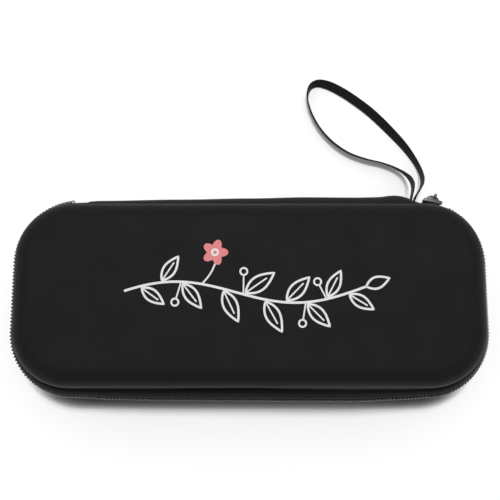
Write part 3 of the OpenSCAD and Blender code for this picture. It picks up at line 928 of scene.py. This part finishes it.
ink = {"lift": 0.05, "fillLift": 0.03, "thickness": 0.14, "capEnd": 0.02,
       "stem": 1.375, "outline": 1.25, "rib": 0.875, "ring": 1.0625, "blossomStalk": 1.0}
stem = {"from": -70, "to": 66, "wave": 7.5, "waves": 0.92, "start": 0.5, "low": -3, "rise": 6}
leaves = {"count": 11, "first": 0.06, "step": 0.086, "lean": 50, "stalk": 1.5, "length": 20, "width": 8.2,
          "shrink": 0.25, "missing": 3, "tipLength": 14, "tipWidth": 6.5}
berries = {"lean": 104, "radius": 2.0, "places": ((0.232, -1, 10), (0.490, 1, 11), (0.748, -1, 10), (0.834, 1, 9))}
blossom = {"at": (-19.5, 22.5), "radius": 5.4, "petals": 1.5, "eye": 1.7, "root": 0.318, "stalkEnd": 6.9, "bow": 0.9}


def onLid(bm, q, lift):
    return bm.verts.new(Vector((q.x, q.y, case["height"] + crownAt(q.x, q.y) + lift)) * mm)


def strokeInto(bm, points, width, closed=False):
    points = [Vector(p) for p in points]
    radius, count = width / 2, len(points)
    stations = []
    for i, p in enumerate(points):
        a = points[(i - 1) % count] if closed else points[max(i - 1, 0)]
        b = points[(i + 1) % count] if closed else points[min(i + 1, count - 1)]
        stations.append((p, (b - a).normalized(), radius))
    if not closed:  # round ends
        turns = [math.radians(a) for a in (84, 60, 35, 15)]
        caps = [(radius * math.sin(a), max(radius * math.cos(a), ink["capEnd"])) for a in turns]
        (head, headWay, _), (tail, tailWay, _) = stations[0], stations[-1]
        stations = ([(head - headWay * reach, headWay, r) for reach, r in caps] + stations
                    + [(tail + tailWay * reach, tailWay, r) for reach, r in reversed(caps)])
    rings = []
    for p, along, r in stations:
        left = Vector((-along.y, along.x))
        rings.append([onLid(bm, p + left * offset, ink["lift"] - drop)
                      for offset, drop in ((r, 0), (-r, 0), (-r, ink["thickness"]), (r, ink["thickness"]))])
    for one, two in list(zip(rings, rings[1:])) + ([(rings[-1], rings[0])] if closed else []):
        for k in range(4):
            bm.faces.new([one[k], one[(k + 1) % 4], two[(k + 1) % 4], two[k]])
    if not closed:
        bm.faces.new(rings[0])
        bm.faces.new(rings[-1][::-1])


def plateInto(bm, outline):  # a filled, closed patch of ink
    top, low = [[onLid(bm, q, ink["fillLift"] - drop) for q in outline] for drop in (0, ink["thickness"])]
    bm.faces.new(top)
    bm.faces.new(low[::-1])
    for i in range(len(outline)):
        k = (i + 1) % len(outline)
        bm.faces.new([top[i], low[i], low[k], top[k]])


def pointing(angle):
    return Vector((math.cos(angle), math.sin(angle)))


def ringOf(centre, radius, steps, wave=0.0, petals=5):
    angles = [2 * math.pi * i / steps for i in range(steps)]
    return [centre + pointing(a) * (radius + wave * math.cos(petals * a)) for a in angles]


def stemAt(t):
    height = stem["wave"] * math.sin(2 * math.pi * stem["waves"] * t + stem["start"])
    return Vector((stem["from"] + (stem["to"] - stem["from"]) * t, height + stem["low"] + stem["rise"] * t))


def stemTurn(t):
    d = stemAt(min(t + 0.01, 1.0)) - stemAt(max(t - 0.01, 0.0))
    return math.atan2(d.y, d.x)


def leafInto(bm, root, angle, length, width, steps=18):
    forward = pointing(angle)
    left = Vector((-forward.y, forward.x))
    edge = [(i / steps, width / 2 * math.sin(math.pi * (i / steps) ** 0.85)) for i in range(steps + 1)]
    outline = [root + forward * length * u + left * w for u, w in edge]
    outline += [root + forward * length * u - left * w for u, w in reversed(edge[1:-1])]
    strokeInto(bm, outline, ink["outline"], closed=True)


def ribInto(bm, root, angle, length):
    strokeInto(bm, [root + pointing(angle) * length * u for u in (0.0, 0.2, 0.4, 0.6, 0.72)], ink["rib"])


def berryInto(bm, t, side, reach):  # on a short stalk
    root, way = stemAt(t), pointing(stemTurn(t) + side * math.radians(berries["lean"]))
    strokeInto(bm, [root + way * reach * i / 4 for i in range(5)], ink["rib"])
    strokeInto(bm, ringOf(root + way * (reach + berries["radius"]), berries["radius"], 20), ink["ring"], closed=True)


def printWhite():
    bm = bmesh.new()
    strokeInto(bm, [stemAt(i / 90) for i in range(91)], ink["stem"])
    for k in range(leaves["count"]):
        if k == leaves["missing"]:  # the blossom stands here
            continue
        t, side = leaves["first"] + leaves["step"] * k, 1 if k % 2 else -1
        size = 1 - leaves["shrink"] * abs(t - 0.5) / 0.5
        angle = stemTurn(t) + side * math.radians(leaves["lean"])
        root = stemAt(t) + pointing(angle) * leaves["stalk"]
        leafInto(bm, root, angle, leaves["length"] * size, leaves["width"] * size)
        ribInto(bm, root, angle, leaves["length"] * size)
    leafInto(bm, stemAt(1.0), stemTurn(1.0), leaves["tipLength"], leaves["tipWidth"])
    for place in berries["places"]:
        berryInto(bm, *place)
    middle = Vector(blossom["at"])
    strokeInto(bm, ringOf(middle, blossom["eye"], 22), ink["ring"], closed=True)
    root, end = stemAt(blossom["root"]), middle - Vector((0, blossom["stalkEnd"]))
    stalk = [root.lerp(end, i / 6) + Vector((blossom["bow"] * math.sin(math.pi * i / 6), 0)) for i in range(7)]
    strokeInto(bm, stalk, ink["blossomStalk"])
    return finishMesh("printWhite", bm)


def printCoral():
    bm = bmesh.new()
    petals = ringOf(Vector(blossom["at"]), blossom["radius"], 90, blossom["petals"])
    strokeInto(bm, petals, ink["outline"], closed=True)
    plateInto(bm, petals)
    return finishMesh("printCoral", bm)


addPiece("printWhite", printWhite(), "print_white", "lid", sharp=30)
addPiece("printCoral", printCoral(), "print_coral", "lid", sharp=30)
print("print made")

# floor and soft light: a sun from behind and above, a sky that is darker in front, and white to the camera
# a contact shadow is painted into the floor's colour and glow close in front of the case: metres from the middle, where
# the painted shade begins and is full

studio = {"skyFront": 0.16, "skyBack": 0.76, "key": 1.92, "keyFrom": (0.05, 0.50, 2.05), "keySpread": 13}
floor = {"half": 4, "drop": 0.0002, "dark": (0.955, 0.955, 0.955), "light": (0.965, 0.965, 0.965), "glow": 0.08}
paintedShadeSizes = {"reach": 0.0165, "power": 9.0, "from": -0.046, "full": -0.060}


def seenDirectly(tree):  # 1 for rays from the camera, from a reflection or through a piece
    rays = addNode(tree, "ShaderNodeLightPath").outputs
    return maths(tree, "MAXIMUM", rays["Is Camera Ray"],
                 maths(tree, "MAXIMUM", rays["Is Glossy Ray"], rays["Is Transmission Ray"]))


# painted shadow: ambient occlusion, kept to the floor in front of the case, darkens its colour
def paintedContactShade(tree, point):  # 1 in the open, less where the case stands close
    nearby = addNode(tree, "ShaderNodeAmbientOcclusion", {"Distance": paintedShadeSizes["reach"]}, samples=16).outputs["AO"]
    forward = addNode(tree, "ShaderNodeSeparateXYZ", {0: point}).outputs[1]
    inFront = remap(tree, forward, 0.0, 1.0, paintedShadeSizes["from"], paintedShadeSizes["full"])
    shade = maths(tree, "SUBTRACT", 1.0, maths(tree, "POWER", nearby, paintedShadeSizes["power"]))
    return maths(tree, "SUBTRACT", 1.0, maths(tree, "MULTIPLY", inFront, shade))


def makeFloor():
    half, low = floor["half"], -floor["drop"]
    square = [(-half, -half, low), (half, -half, low), (half, half, low), (-half, half, low)]
    mesh = bpy.data.meshes.new("floor")
    mesh.from_pydata(square, [], [(0, 1, 2, 3)])
    obj = bpy.data.objects.new("floor", mesh)
    scene.collection.objects.link(obj)
    material, tree = startMaterial("paleFloor")
    point = objectPoint(tree)
    # the painted contact shadow darkens the floor's colour and its glow
    paintedShadeFactor = paintedContactShade(tree, point)
    paint = tint(tree, noise(tree, point, 6, 4), floor["dark"], floor["light"])
    colour = addNode(tree, "ShaderNodeVectorMath", {0: paint, 1: paintedShadeFactor}, operation="MULTIPLY").outputs[0]
    glow = maths(tree, "MULTIPLY", maths(tree, "MULTIPLY", seenDirectly(tree), paintedShadeFactor), floor["glow"])
    mesh.materials.append(finishMaterial(material, colour, 0.9, glow=glow, gloss=0.0))


def makeLight():
    world = bpy.data.worlds.new("studio")
    scene.world = world
    world.use_nodes = True
    tree = world.node_tree
    background = next(n for n in tree.nodes if n.type == "BACKGROUND")
    background.inputs["Color"].default_value = (1, 1, 1, 1)
    direction = addNode(tree, "ShaderNodeTexCoord").outputs["Generated"]
    backward = addNode(tree, "ShaderNodeSeparateXYZ", {0: direction}).outputs[1]
    sky = remap(tree, backward, studio["skyFront"], studio["skyBack"], fromLow=-0.7, fromHigh=0.7)
    tree.links.new(maths(tree, "MAXIMUM", sky, seenDirectly(tree)), background.inputs["Strength"])
    lamp = bpy.data.lights.new("softKey", "SUN")
    lamp.energy, lamp.angle = studio["key"], math.radians(studio["keySpread"])
    obj = bpy.data.objects.new("softKey", lamp)
    scene.collection.objects.link(obj)
    obj.location = studio["keyFrom"]
    obj.rotation_euler = (-Vector(studio["keyFrom"])).to_track_quat("-Z", "Y").to_euler()


makeFloor()
makeLight()
scene.view_settings.view_transform = "Standard"
print("floor and light made")
